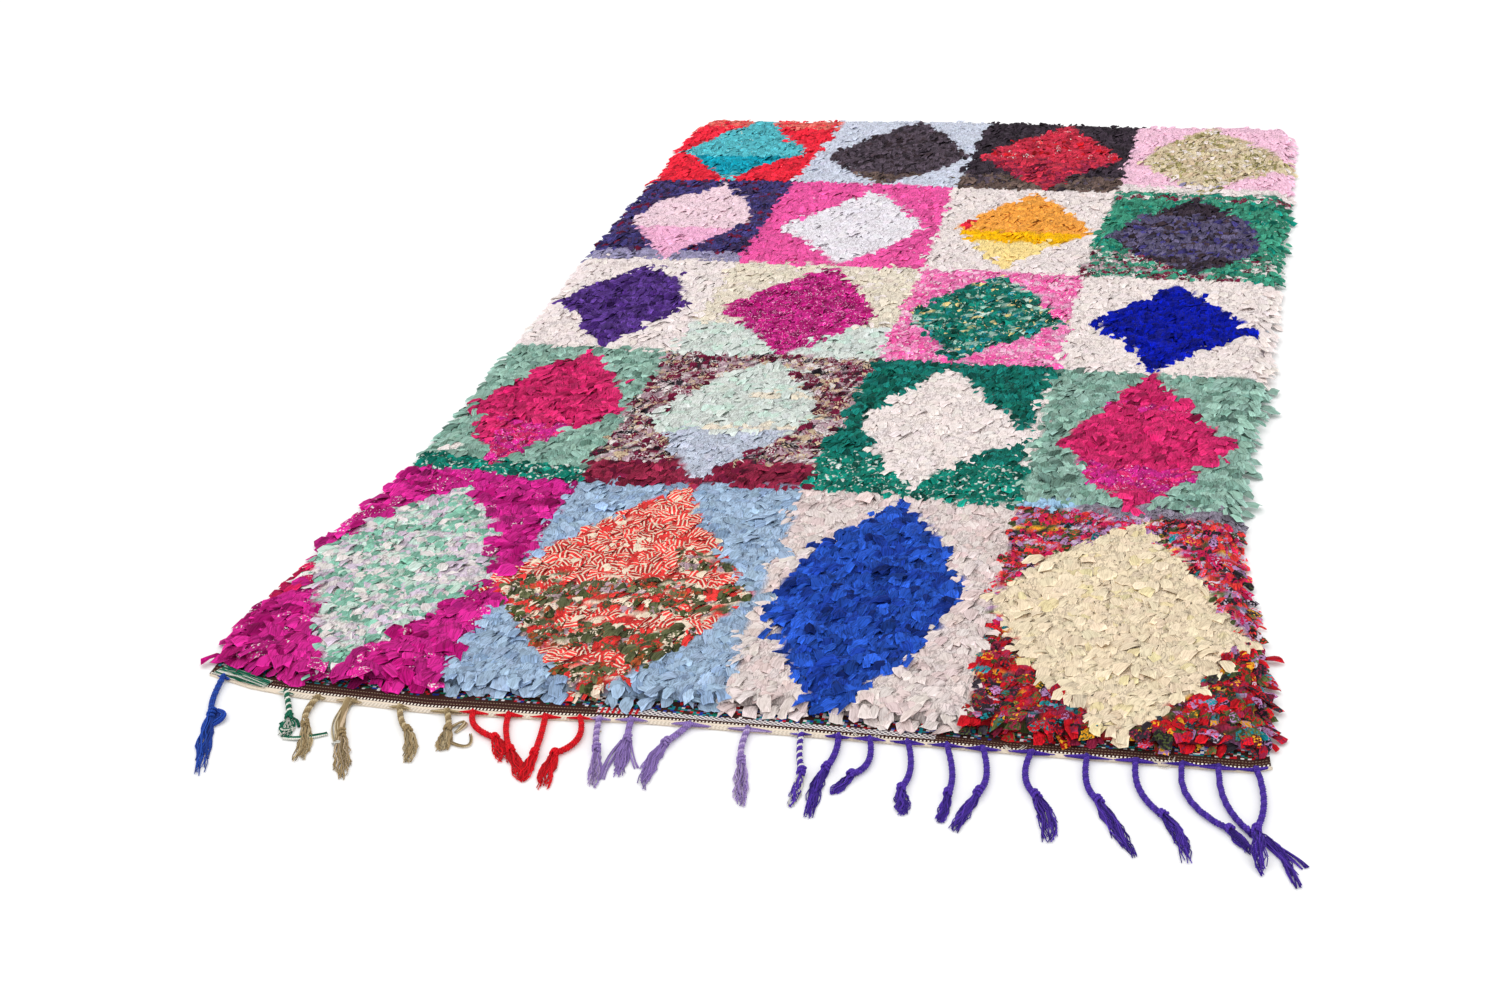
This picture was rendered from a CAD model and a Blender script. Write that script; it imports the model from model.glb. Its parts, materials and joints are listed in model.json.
"""Boucherouite rug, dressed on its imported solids: a woven foundation, about thirty-four thousand
knotted rag strips in lozenge panels, a twined end band and plied yarn tassels.

Metres, +Z up, +Y from the tasselled end to the plain end, with the origin in the middle of the
pile field on the floor. "Along" is the distance from the field's front edge towards the back.
"""

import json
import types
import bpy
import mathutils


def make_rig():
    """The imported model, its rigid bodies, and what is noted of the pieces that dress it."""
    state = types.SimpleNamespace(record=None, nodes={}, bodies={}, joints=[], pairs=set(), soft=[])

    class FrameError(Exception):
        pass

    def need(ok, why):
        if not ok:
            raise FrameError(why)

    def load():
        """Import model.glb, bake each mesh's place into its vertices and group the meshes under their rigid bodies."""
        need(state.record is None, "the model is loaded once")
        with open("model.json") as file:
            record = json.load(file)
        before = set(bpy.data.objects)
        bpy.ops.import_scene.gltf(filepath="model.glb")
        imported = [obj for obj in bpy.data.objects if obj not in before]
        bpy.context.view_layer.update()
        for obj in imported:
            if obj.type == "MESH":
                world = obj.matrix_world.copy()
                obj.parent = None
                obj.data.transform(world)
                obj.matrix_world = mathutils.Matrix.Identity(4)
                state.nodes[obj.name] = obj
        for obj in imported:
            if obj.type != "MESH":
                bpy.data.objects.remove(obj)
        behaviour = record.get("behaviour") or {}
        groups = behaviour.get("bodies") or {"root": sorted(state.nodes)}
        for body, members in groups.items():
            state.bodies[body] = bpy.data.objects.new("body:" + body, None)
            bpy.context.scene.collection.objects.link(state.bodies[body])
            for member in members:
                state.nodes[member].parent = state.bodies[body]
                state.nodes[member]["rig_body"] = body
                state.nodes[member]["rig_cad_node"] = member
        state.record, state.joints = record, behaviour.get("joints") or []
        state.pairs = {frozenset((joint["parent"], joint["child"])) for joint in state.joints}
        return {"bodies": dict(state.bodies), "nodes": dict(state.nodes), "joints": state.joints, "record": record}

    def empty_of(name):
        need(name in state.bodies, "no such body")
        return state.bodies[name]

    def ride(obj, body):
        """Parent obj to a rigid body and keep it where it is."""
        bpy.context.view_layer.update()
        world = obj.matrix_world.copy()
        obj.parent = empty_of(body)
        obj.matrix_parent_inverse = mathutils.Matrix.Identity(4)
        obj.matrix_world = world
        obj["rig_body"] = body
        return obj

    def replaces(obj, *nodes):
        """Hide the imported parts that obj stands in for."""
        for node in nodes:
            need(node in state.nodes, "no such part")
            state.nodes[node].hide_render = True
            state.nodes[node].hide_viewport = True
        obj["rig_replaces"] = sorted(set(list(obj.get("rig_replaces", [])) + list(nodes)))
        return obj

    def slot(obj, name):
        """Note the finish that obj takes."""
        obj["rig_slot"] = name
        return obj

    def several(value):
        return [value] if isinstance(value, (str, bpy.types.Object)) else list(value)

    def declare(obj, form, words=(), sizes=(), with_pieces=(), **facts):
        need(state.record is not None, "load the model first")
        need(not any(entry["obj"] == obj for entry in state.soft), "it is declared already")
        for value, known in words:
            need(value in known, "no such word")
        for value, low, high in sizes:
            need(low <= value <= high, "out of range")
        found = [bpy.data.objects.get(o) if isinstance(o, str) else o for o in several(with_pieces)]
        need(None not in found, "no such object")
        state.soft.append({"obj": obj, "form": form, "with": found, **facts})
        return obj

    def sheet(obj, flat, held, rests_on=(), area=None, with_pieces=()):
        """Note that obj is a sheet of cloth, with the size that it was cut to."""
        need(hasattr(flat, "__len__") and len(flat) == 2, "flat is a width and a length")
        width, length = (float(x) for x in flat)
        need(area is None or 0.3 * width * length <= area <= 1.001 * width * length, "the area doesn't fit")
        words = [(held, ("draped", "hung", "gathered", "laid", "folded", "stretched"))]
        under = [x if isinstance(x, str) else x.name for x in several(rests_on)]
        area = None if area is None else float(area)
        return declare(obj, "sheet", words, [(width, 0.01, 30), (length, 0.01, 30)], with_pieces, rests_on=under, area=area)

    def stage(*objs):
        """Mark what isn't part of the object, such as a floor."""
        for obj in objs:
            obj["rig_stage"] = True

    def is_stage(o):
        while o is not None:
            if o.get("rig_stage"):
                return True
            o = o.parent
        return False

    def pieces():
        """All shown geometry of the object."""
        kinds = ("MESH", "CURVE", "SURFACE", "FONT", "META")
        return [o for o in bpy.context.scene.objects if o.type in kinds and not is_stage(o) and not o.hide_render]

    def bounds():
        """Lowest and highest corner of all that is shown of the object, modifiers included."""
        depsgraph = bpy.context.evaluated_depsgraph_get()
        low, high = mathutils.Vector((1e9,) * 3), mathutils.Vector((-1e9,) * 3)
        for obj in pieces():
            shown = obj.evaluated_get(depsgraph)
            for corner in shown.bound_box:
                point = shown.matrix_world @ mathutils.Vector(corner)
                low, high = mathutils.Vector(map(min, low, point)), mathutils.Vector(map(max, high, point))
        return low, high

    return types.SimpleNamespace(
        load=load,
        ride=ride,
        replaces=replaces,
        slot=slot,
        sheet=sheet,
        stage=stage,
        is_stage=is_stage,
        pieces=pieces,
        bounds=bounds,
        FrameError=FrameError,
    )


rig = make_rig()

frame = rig.load()
import json
from collections import namedtuple

import bpy
import numpy as np
from mathutils import Matrix, Vector

cad_box = [list(corner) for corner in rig.bounds()]

MM = 0.001
TAU = 2 * np.pi
SEED = 41
FIELD_WIDTH = 1.50
FIELD_LENGTH = 2.86
FRONT_Y = -FIELD_LENGTH / 2

# Camera: the place and the turn that put the panels' corners on the photo's
CAMERA_PLACE = (0.73371, -3.80474, 1.55644)
CAMERA_YAW = -15.3828
CAMERA_PITCH = 26.2697
CAMERA_ROLL = -3.2258
CAMERA_LENS = 50.0
CAMERA_SENSOR = 36.0


def read_word(word):
    """A word of a table as a whole number, a number or itself."""
    for kind in (int, float):
        try:
            return kind(word)
        except ValueError:
            pass
    return word


def table(text):
    """Rows of a text table whose first line names its columns. A row ends at a comma or with
    its line, and the last column takes all that is left of it."""
    first, rest = text.split("\n", 1)
    row = namedtuple("Row", first)
    lines = [line.split(maxsplit=len(row._fields) - 1) for line in rest.replace(",", "\n").splitlines()]
    return [row(*map(read_word, words)) for words in lines if words]


# Rims in mm, as on the solids: along or across, and how far the rag tips stand proud of the field
LEFT_SIDE = table("""along proud
0 30, 40 24, 130 24, 190 18, 320 14, 430 9, 560 -14, 900 -22, 1100 -14, 1600 -8, 1750 4, 2130 14,
2400 10, 2650 22, 2860 18""")
RIGHT_SIDE = table("""along proud
0 32, 90 24, 190 18, 330 4, 450 -19, 560 -31, 720 -35, 1020 -27, 1120 -12, 1450 -7, 1700 -2,
2000 1, 2260 12, 2500 13, 2860 8""")
FRONT_END = table("""across proud
-768 -6, -605 28, -480 25, -300 19, -60 11, 135 3, 350 13, 550 15, 740 4, 787 -12""")
BAND_END = table("""across proud
-758 16, -680 41, -595 54, -404 62, -243 53, -86 38, 86 35, 253 32, 500 28, 745 22, 770 9""")
BACK_END = table("""across proud
-756 -16, -564 -20, -385 -8, -163 7, 148 1, 276 -8, 525 -8, 623 8, 757 -7""")
RIM_REACH = 0.018      # how far a rag overhangs the cloth at the rim

# The end band's stripes in mm: the widths of the cream edge and of the brown stripe behind it
STRIPES = table("""across cream brown
-758 2 24, -600 12 27, -447 13 27, -295 12 28, -120 10 25, -20 12 17, 77 13 17, 208 10 20,
350 9 19, 414 8 18, 573 8 22, 770 6 21""")

# Tassels from left to right, in mm, as on the solids: across is from the middle line and out is
# in front of the field's front edge, for the cord's root, middle and knot, then the tuft's
# middle and tip; fan is the tuft's width and lift its hump over a neighbour. Spread is how far
# the root's yarn lies along the edge, turn the length over which the plies go once round, and
# plies are the yarns of the cord.
TASSELS = table("""yarn root_across mid_across mid_out knot_across knot_out tuft_across tuft_out tip_across\
 tip_out fan lift spread turn plies
blue -731 -718 82 -702 117 -682 180 -646 265 19 0 12 16 blue navy_yarn
green -619 -598 84 -585 110 -576 136 -572 158 18 0 14 16 leaf white_yarn
beige -565 -566 91 -554 123 -536 165 -526 214 19 0 12 18 tan wool
beige -519 -510 91 -492 137 -469 188 -444 243 22 0 22 150 tan wool tan beige tan
beige -437 -422 90 -404 113 -384 144 -374 188 21 0 18 18 tan wool
beige -366 -353 84 -347 101 -343 126 -337 152 19 0 24 18 tan wool
red -326 -312 88 -274 112 -256 135 -240 166 21 0 26 16 poppy_yarn deep_poppy
red -274 -264 93 -242 137 -222 168 -200 204 18 0 22 16 poppy_yarn deep_poppy
red -221 -212 95 -206 138 -204 172 -203 205 17 0 24 16 poppy_yarn deep_poppy
red -172 -158 96 -178 135 -176 172 -168 218 20 0 22 16 poppy_yarn deep_poppy
lilac -144 -135 85 -125 114 -113 159 -104 204 14 0 18 16 lilac_yarn pale_lilac
lilac -98 -95 62 -90 83 -85 125 -76 172 16 0 24 16 lilac_yarn deep_lilac
lilac -13 -23 57 -34 82 -42 130 -36 196 19 0 30 16 lilac_yarn deep_lilac
lilac 69 70 75 78 110 90 160 102 212 18 0 34 16 lilac_yarn pale_lilac
purple 143 152 82 164 122 166 164 168 202 12 0 18 16 violet white_yarn violet
purple 195 199 68 195 105 190 155 196 226 16 0 22 16 violet deep_violet
purple 238 247 85 231 117 221 141 212 163 14 0 24 16 violet deep_violet
purple 290 305 90 301 138 307 168 313 194 19 0 26 16 violet deep_violet
purple 343 361 92 363 138 363 172 361 202 13 0 26 16 violet deep_violet
purple 392 406 88 402 128 391 175 382 220 16 0 26 16 violet deep_violet
purple 458 456 82 474 124 493 167 503 221 21 0 32 16 violet deep_violet
purple 531 536 84 554 122 577 167 609 234 18 0 34 16 violet deep_violet
purple 595 604 88 636 140 657 172 675 236 16 0 30 16 violet deep_violet
purple 655 668 100 720 158 735 177 751 203 14 0 28 16 violet deep_violet
purple 702 713 98 746 160 779 188 808 262 13 0 26 16 violet deep_violet
purple 749 761 90 754 152 757 196 764 246 15 13 30 16 violet deep_violet""")
FRINGE_YARNS = ("blue", "green", "beige", "red", "lilac", "purple")

# Loose yarns, in mm as above: a bundle of so many yarns of one radius on a parabola through
# three points, its width at both ends, its height in the middle and its dyes
LOOSE = table("""yarn start_across start_out middle_across middle_out end_across end_out yarns radius wide\
 narrow height dyes
green -748 0 -706 16 -656 30 44 1.0 26 17 6 leaf leaf white_yarn leaf white_yarn
green -572 157 -546 155 -514 137 4 1.6 6 9 3 leaf white_yarn leaf
green -590 126 -578 113 -566 128 6 1.3 8 8 6 leaf
green -588 126 -577 142 -570 128 6 1.3 7 8 6 leaf white_yarn
green -578 114 -586 132 -574 150 6 1.3 6 8 7 leaf
blue -702 106 -682 126 -694 148 13 1.5 15 15 8 blue navy_yarn
beige -334 128 -306 134 -313 104 3 1.4 4 3 3 tan flax
beige -349 96 -330 82 -336 104 5 1.4 8 6 6 tan flax
beige -552 116 -556 121 -548 126 5 1.0 6 6 12 white_yarn
beige -496 157 -487 162 -478 157 5 1.0 6 6 13 white_yarn
beige -515 46 -513 98 -492 150 16 1.3 17 14 7 tan flax
lilac -96 84 -100 130 -99 180 9 1.0 8 10 5 lilac_yarn
lilac -86 82 -76 112 -58 146 7 1.0 6 8 4 lilac_yarn
lilac -135 66 -138 80 -130 92 3 1.1 5 5 10 beige white_yarn
purple 746 162 782 184 814 219 8 1.0 6 11 3 violet deep_violet
purple 214 16 232 30 246 14 3 0.6 6 10 2 edge_pale
purple 420 14 434 26 446 10 3 0.6 6 10 2 edge_pale
purple 616 10 632 26 640 4 3 0.6 6 10 2 edge_pale""")

# Corners of the panels: X of the five column lines, then along of the same corners, for the six
# row lines from the front to the back
LINES = table("""x0 x1 x2 x3 x4 y0 y1 y2 y3 y4
-.755 -.400 .020 .359 .777 -.009 -.001 -.008 .009 .011
-.739 -.401 -.014 .347 .717 .693 .666 .697 .676 .658
-.733 -.405 .007 .352 .741 1.259 1.251 1.266 1.259 1.250
-.750 -.401 .005 .341 .747 1.765 1.769 1.762 1.761 1.757
-.755 -.404 -.009 .369 .765 2.312 2.334 2.322 2.318 2.309
-.752 -.388 -.003 .375 .757 2.850 2.851 2.864 2.863 2.855""")
LINE_X = np.array([line[:5] for line in LINES])
LINE_Y = np.array([line[5:] for line in LINES])
PANEL_ROWS = len(LINES) - 1
PANEL_COLUMNS = 4

# Dyes of rags and yarns, sRGB
DYES = {dye.name: dye[1:] for dye in table("""name red green blue
magenta 203 38 138, deep_magenta 174 16 110, crimson 200 26 84, mint 132 188 166,
pale_mint 199 221 209, chalk 226 218 216, lilac_grey 206 190 206, sky 161 185 211,
deep_sky 142 168 200, poppy 226 58 56, cream 238 220 196, olive 92 96 66, rust 176 84 48,
warm_white 225 212 208, rose_white 223 203 200, royal 38 82 186, deep_royal 26 58 152,
scarlet 194 22 34, dusty_lilac 176 130 180, moss 76 86 48, marigold 240 170 40, teal 24 128 138,
pale_yellow 234 216 186, butter 229 213 167, sage 146 182 168, deep_sage 118 156 142,
emerald 12 128 110, pine 14 102 88, raspberry 210 42 106, deep_raspberry 188 28 90,
wine 142 36 66, burgundy 108 22 54, beige 206 182 152, black 46 40 48, mauve 178 150 160,
pale_aqua 211 219 213, blue_grey 190 198 214, dark_green 20 116 106, shell 238 226 222,
sky_bit 160 200 232, grey_violet 138 130 146, blush 234 222 220, purple 88 56 136,
deep_purple 68 36 112, straw 229 218 199, candy 240 126 184, pale_candy 240 176 208,
ultramarine 0 20 162, navy 66 60 120, ink 66 52 92, slate_blue 150 144 178,
baby_pink 240 210 221, pink 243 179 213, hot_pink 240 90 166, lavender_white 234 229 236,
orange 246 165 68, amber 252 188 0, lemon 250 222 148, green 60 144 118, slate 94 88 118,
dark_brown 60 48 54, red 240 40 62, coral 236 116 104, turquoise 86 188 200,
deep_turquoise 10 160 184, ice 207 213 229, charcoal 80 69 80, olive_brown 102 84 78,
carmine 206 50 74, khaki 160 150 96, sand 222 206 172, pale_pink 247 199 221, blue 32 78 180,
navy_yarn 22 56 148, leaf 14 112 84, white_yarn 226 224 214, tan 168 144 104, flax 216 200 168,
poppy_yarn 240 0 28, lilac_yarn 158 130 198, pale_lilac 186 164 208, violet 88 54 178,
edge_cream 232 216 196, edge_pale 246 236 222, deep_violet 58 32 138, deep_poppy 206 0 20,
deep_lilac 142 114 186, cocoa 58 30 26, soot 58 48 58, wool 194 174 136""")}

# Rags: strip width and length in mm, the printed colour, how much of the cloth the print covers,
# whether it is striped, the print's grain in mm, and the dyes with their shares. A mixed print
# takes another of the dyes on each strip.
RAGS = {rag.name: rag for rag in table("""name width length print cover striped grain dyes
magenta 24 43 blush .11 0 4 magenta 7 deep_magenta 2
mint_mix 16 38 mixed .25 0 9 mint 5 pale_mint 2.5 chalk 4.5 lilac_grey 5.5
sky 19 40 sky 0 0 8 sky 8 deep_sky 2
red_stripe 17 38 cream .27 1 7 poppy 11 cream 1.5
olive_print 14 36 mixed .36 0 5 olive 6 cream 3.5 poppy 4.5 rust 1 moss 1.5 mauve 1
warm_white 19 43 chalk 0 0 12 warm_white 6 rose_white 4
royal 20 42 royal 0 0 8 royal 7 deep_royal 3
lilac_print 11 32 mixed .42 0 4 poppy 5 crimson 4 dusty_lilac 3 moss 3 black 2 lilac_grey 1 marigold .3 teal .4
bright_print 14 34 mixed .42 0 4 scarlet 8 wine 4 moss 3.5 dusty_lilac 1.2 teal 1.4 marigold 1.4 lilac_grey .4 black 3.2
pale_yellow 20 44 pale_yellow 0 0 8 pale_yellow 12 butter 1
crimson 19 38 blush .10 0 4 crimson 7 deep_raspberry 2
sage 19 40 sage 0 0 8 sage 7 deep_sage 3
teal_white 16 34 pale_aqua .30 0 9 emerald 6 pine 2
raspberry 18 40 raspberry 0 0 8 raspberry 7 deep_raspberry 2
magenta_fleck 15 36 pale_candy .24 0 4 magenta 5 raspberry 4
burgundy_print 14 34 mixed .44 0 4 burgundy 5 mauve 5 beige 3 black 1.5 chalk 3
wine 18 38 wine 0 0 8 wine 8 burgundy 1
aqua_white 18 40 pale_aqua 0 0 8 pale_aqua 8 pale_mint 2
cream_line 15 36 straw 0 0 8 straw 5 pale_aqua 2
blue_grey 13 34 slate .22 0 3 blue_grey 8 ice 2
dark_green 14 36 emerald .12 0 5 dark_green 6 pine 3
shell 18 40 shell 0 0 8 shell 8 blush 2
sky_bit 14 32 sky_bit 0 0 8 sky_bit 1
grey_violet 12 30 black .3 0 2.5 grey_violet 1
blush 17 40 blush 0 0 8 blush 7 shell 2
purple 14 38 purple 0 0 8 purple 7 deep_purple 3
straw 16 38 straw 0 0 8 straw 8 shell 1
magenta_print 14 36 pale_candy .26 0 4 magenta 5 deep_magenta 4
candy_print 14 36 shell .27 0 6 candy 5 pale_candy 2 hot_pink 3
green_print 14 34 mixed .30 0 5 pine 6 emerald 3 sage 2 pale_mint 1.5 lemon 1.2 teal 1.4 dark_green 2
ultramarine 14 38 ultramarine 0 0 8 ultramarine 1
navy_print 13 34 mixed .26 0 6 navy 6 ink 3 burgundy 1
slate_blue 13 32 slate_blue 0 0 8 slate_blue 1
baby_pink 15 36 baby_pink 0 0 8 baby_pink 1
pink 15 36 pale_candy .15 0 8 pink 1
hot_pink 15 36 pale_candy .08 0 8 hot_pink 1
lavender_white 15 36 lavender_white 0 0 8 lavender_white 1
pink_white 16 38 blush 0 0 8 blush 8 shell 3
orange 13 34 lemon .12 0 4 orange 1
amber 14 30 amber 0 0 8 amber 1
lemon 15 36 lemon 0 0 8 lemon 1
green_mix 13 36 warm_white .10 0 5 green 7 emerald 1
slate 13 38 ink .2 0 8 slate 7 navy 2 dark_brown 1
brown_slate 13 36 ink .2 0 8 soot 6 dark_brown 2 slate 1
red 14 36 red 0 0 8 red 1
coral 12 32 shell .15 0 3 coral 5 red 2
turquoise 13 36 pale_mint .12 0 5 turquoise 1
deep_turquoise 13 34 turquoise .03 0 5 deep_turquoise 1
ice 12 34 slate_blue .12 0 3 ice 1
charcoal 12 36 charcoal 0 0 8 charcoal 8 dark_brown 2
soot 12 36 soot 0 0 8 soot 1
green_fleck 13 34 mixed .34 0 4 green 5 chalk 3 burgundy 3 mauve 1
olive_brown 12 34 khaki .1 0 4 olive_brown 8 charcoal 2
carmine 13 36 shell .13 0 4 carmine 8 scarlet 1
carmine_wine 13 34 carmine .2 0 6 wine 4 carmine 5
pale_pink 13 36 pale_pink 0 0 8 pale_pink 1
sand_print 10 42 mixed .3 0 5 sand 6 khaki 2 beige 2 shell 1
sand_bits 10 36 khaki .1 0 5 slate_blue 2 butter 2 shell 3 khaki 1""")}

# Panels by row from the front and column from the left: the two rags, the lozenge's four tips
# as shares of the panel's width and depth, and how far the middle of each of its four sides
# swells outwards, as a share of the width
PANELS = table("""row column ground lozenge top_u top_v right_u right_v bottom_u bottom_v left_u left_v\
 swell_ne swell_se swell_sw swell_nw
1 1 magenta mint_mix .45 .94 .92 .44 .50 .00 .00 .49 .11 .00 .00 .08
1 2 sky red_stripe .50 1.0 .97 .46 .54 .00 -.06 .46 -.04 .03 .05 .08
1 3 warm_white royal .50 .99 .90 .53 .45 .00 .03 .45 .03 .06 .05 .09
1 4 lilac_print pale_yellow .55 .98 .94 .45 .50 .00 -.02 .52 .03 .05 .06 .09
2 1 sage raspberry .55 .99 .98 .50 .51 .03 .09 .51 .04 -.07 .04 .03
2 2 burgundy_print aqua_white .53 .97 .89 .50 .49 .02 .11 .50 .06 .03 .00 .05
2 3 dark_green shell .43 .96 .97 .47 .48 .05 .08 .52 .02 -.05 .05 .04
2 4 sage raspberry .44 1.02 .89 .50 .50 .02 .11 .46 -.02 .03 .04 .00
3 1 blush purple .49 .93 .89 .47 .56 .02 .09 .48 .08 .02 .01 .07
3 2 straw magenta_print .55 .96 .90 .42 .54 .00 .10 .48 .02 .00 .00 .04
3 3 candy_print green_print .50 .98 .99 .45 .43 .02 .03 .50 .04 -.04 .02 .02
3 4 shell ultramarine .50 .93 .92 .46 .45 .01 .10 .48 .00 -.07 -.05 .00
4 1 navy_print baby_pink .55 .96 .92 .48 .51 .00 .10 .46 .05 .00 .01 .13
4 2 hot_pink lavender_white .53 .94 .94 .46 .54 .00 .10 .42 .01 .02 -.03 -.02
4 3 pink_white orange .53 .95 .97 .47 .53 .01 .11 .50 .02 -.06 .04 .05
4 4 green_mix slate .47 .93 .88 .42 .56 .06 .05 .47 .10 .07 .09 .07
5 1 red turquoise .46 1.0 .94 .45 .54 -.01 .05 .46 -.04 -.07 .00 .04
5 2 ice charcoal .53 .99 .96 .43 .55 .00 .09 .40 .06 .05 .03 .04
5 3 soot carmine .53 .96 .97 .45 .57 -.01 .06 .45 .02 -.03 .03 .05
5 4 pale_pink sand_print .47 .98 1.03 .43 .50 -.03 .08 .42 .03 -.09 -.02 .07""")

# Patches of another rag in a panel's ground or lozenge, between two shares of its width and two
# of its depth
PATCHES = table("""row column part left right low high rag
1 1 ground -.1 .10 .33 .48 crimson
1 1 ground .95 1.1 .41 .50 red_stripe
1 4 ground .93 1.1 .86 .90 royal
1 4 ground .95 1.1 .93 .97 grey_violet
2 1 ground .17 .24 .12 .17 shell
2 3 ground .955 1.1 .20 .95 shell
3 4 ground .95 1.1 .52 .58 blue_grey
3 4 ground .95 1.1 .26 .31 grey_violet
4 4 ground -.1 .48 -.1 .28 green_fleck
4 4 ground .48 .80 -.1 .07 green_fleck
4 4 ground .80 1.1 .10 .28 green_fleck
4 4 ground -.1 1.1 .92 .97 green_fleck
5 4 ground -.1 1.1 -.1 .09 blush
1 2 lozenge -.1 1.1 .00 .50 olive_print
1 2 lozenge -.1 1.1 .50 .56 red_stripe
1 2 lozenge .30 1.1 .30 .37 red_stripe
1 2 lozenge .62 .98 .56 .66 olive_print
1 2 lozenge .25 .62 .13 .19 red_stripe
1 4 ground -.1 1.1 -.1 .42 bright_print
2 1 ground -.1 1.1 -.1 .09 teal_white
2 1 lozenge .36 1.1 .14 .38 magenta_fleck
2 1 lozenge -.1 1.1 -.1 .16 magenta_fleck
2 2 ground -.1 1.1 -.1 .15 wine
2 2 lozenge -.1 1.1 -.1 .39 blue_grey
2 2 lozenge .40 .90 .40 .45 cream_line
2 2 lozenge .52 .90 .64 .69 cream_line
2 3 ground -.1 1.1 -.1 .26 teal_white
2 4 ground .26 1.1 -.1 .07 grey_violet
2 4 ground .04 .26 -.1 .07 sky_bit
2 4 lozenge -.1 1.1 .16 .33 magenta_fleck
2 4 lozenge -.1 1.1 .72 .76 magenta_fleck
3 2 ground -.1 1.1 -.1 .31 aqua_white
4 1 ground -.1 1.1 -.1 .10 slate_blue
4 1 lozenge -.1 1.1 -.1 .38 pink
4 3 lozenge .14 .20 .50 .60 red
4 3 lozenge -.1 1.1 .34 .46 amber
4 3 lozenge -.1 1.1 -.1 .34 lemon
4 4 lozenge -.1 1.1 -.1 .24 brown_slate
4 4 lozenge -.1 1.1 .72 .93 brown_slate
5 1 ground -.1 1.1 .84 1.2 coral
5 1 lozenge -.1 1.1 .10 .38 deep_turquoise
5 2 lozenge -.1 1.1 -.1 .17 olive_brown
5 3 ground -.1 1.1 -.1 .19 olive_brown
5 3 lozenge -.1 1.1 -.1 .42 carmine_wine
5 4 lozenge -.1 1.1 -.1 .14 sand_bits""")


def rim(rows, place):
    """Distance proud of the field at places in metres: straight lines between the rows."""
    return MM * np.interp(np.asarray(place) / MM, [row[0] for row in rows], [row[1] for row in rows])


def ripple(x, y, length, rng, waves=7):
    """Smooth noise about -1..1: the mean of sine waves of about one length in all directions."""
    turns = rng.uniform(0, TAU, waves)
    pitch = TAU / (length * rng.uniform(0.6, 1.5, waves))
    start = rng.uniform(0, TAU, waves)
    phase = np.multiply.outer(x, np.cos(turns) * pitch) + np.multiply.outer(y, np.sin(turns) * pitch)
    return np.sin(phase + start).sum(axis=-1) / np.sqrt(waves)


def linear(colour):
    """Linear light of sRGB values from 0 to 255: the power curve with its straight foot."""
    value = np.asarray(colour, float) / 255
    return np.where(value <= 0.04045, value / 12.92, ((value + 0.055) / 1.055) ** 2.4)


# Frame of the scene: camera, floor and light

LIGHT_SIZE = 3.5
FLOOR_SIZE = 40.0
FLOOR_DROP = 0.0005    # of the floor below the rug's flat underside


def turned_axes():
    """The camera's right, up and forward directions from its yaw, pitch and roll."""
    yaw, pitch, roll = np.radians([CAMERA_YAW, CAMERA_PITCH, CAMERA_ROLL])
    forward = np.array([np.sin(yaw) * np.cos(pitch), np.cos(yaw) * np.cos(pitch), -np.sin(pitch)])
    right = np.array([np.cos(yaw), -np.sin(yaw), 0.0])
    up = np.cross(right, forward)
    return np.cos(roll) * right + np.sin(roll) * up, np.cos(roll) * up - np.sin(roll) * right, forward


def place_object(name, data, place=(0, 0, 0), axes=None):
    """An object in the scene at a place, its axes the columns of a matrix."""
    thing = bpy.data.objects.new(name, data)
    if axes is not None:
        thing.matrix_world = Matrix.Translation(Vector(place)) @ axes.to_4x4()
    bpy.context.collection.objects.link(thing)
    return thing


def set_camera():
    """A 50 mm camera at the photo's place, with its own right, up and backward axes."""
    right, up, forward = turned_axes()
    data = bpy.data.cameras.new("camera")
    data.lens = CAMERA_LENS
    data.sensor_width = CAMERA_SENSOR
    data.clip_end = 100.0
    axes = Matrix([list(right), list(up), list(-forward)]).transposed()
    bpy.context.scene.camera = place_object("camera", data, CAMERA_PLACE, axes)


def add_light(name, place, aim, power):
    """A soft square area light that looks from one place at another."""
    data = bpy.data.lights.new(name, "AREA")
    data.size = LIGHT_SIZE
    data.energy = power
    way = Vector(aim) - Vector(place)
    place_object(name, data, place, way.to_track_quat("-Z", "Y").to_matrix())


def set_studio():
    """A wide white floor, an even white sky and two big soft lights overhead."""
    scene = bpy.context.scene
    scene.view_settings.view_transform = "Standard"
    world = bpy.data.worlds.new("studio")
    world.use_nodes = True
    sky = world.node_tree.nodes["Background"].inputs
    sky["Color"].default_value = (1.0, 1.0, 1.0, 1.0)
    sky["Strength"].default_value = 1.10
    scene.world = world
    material = bpy.data.materials.new("white_floor")
    material.use_nodes = True
    shader = material.node_tree.nodes["Principled BSDF"]
    shader.inputs["Base Color"].default_value = (0.93, 0.93, 0.93, 1.0)
    shader.inputs["Roughness"].default_value = 0.9
    mesh = bpy.data.meshes.new("floor")
    corners = [(FLOOR_SIZE / 2 * x, FLOOR_SIZE / 2 * y, 0) for x, y in ((-1, -1), (1, -1), (1, 1), (-1, 1))]
    mesh.from_pydata(corners, [], [(0, 1, 2, 3)])
    mesh.materials.append(material)
    floor = place_object("floor", mesh)
    floor.location.z = -FLOOR_DROP
    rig.stage(floor)
    add_light("key_light", (-2.2, 0.6, 4.4), (0.0, 0.0, 0.0), 30)
    add_light("fill_light", (1.8, -4.2, 4.0), (0.0, -0.4, 0.0), 15)


# Meshes from arrays

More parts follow.
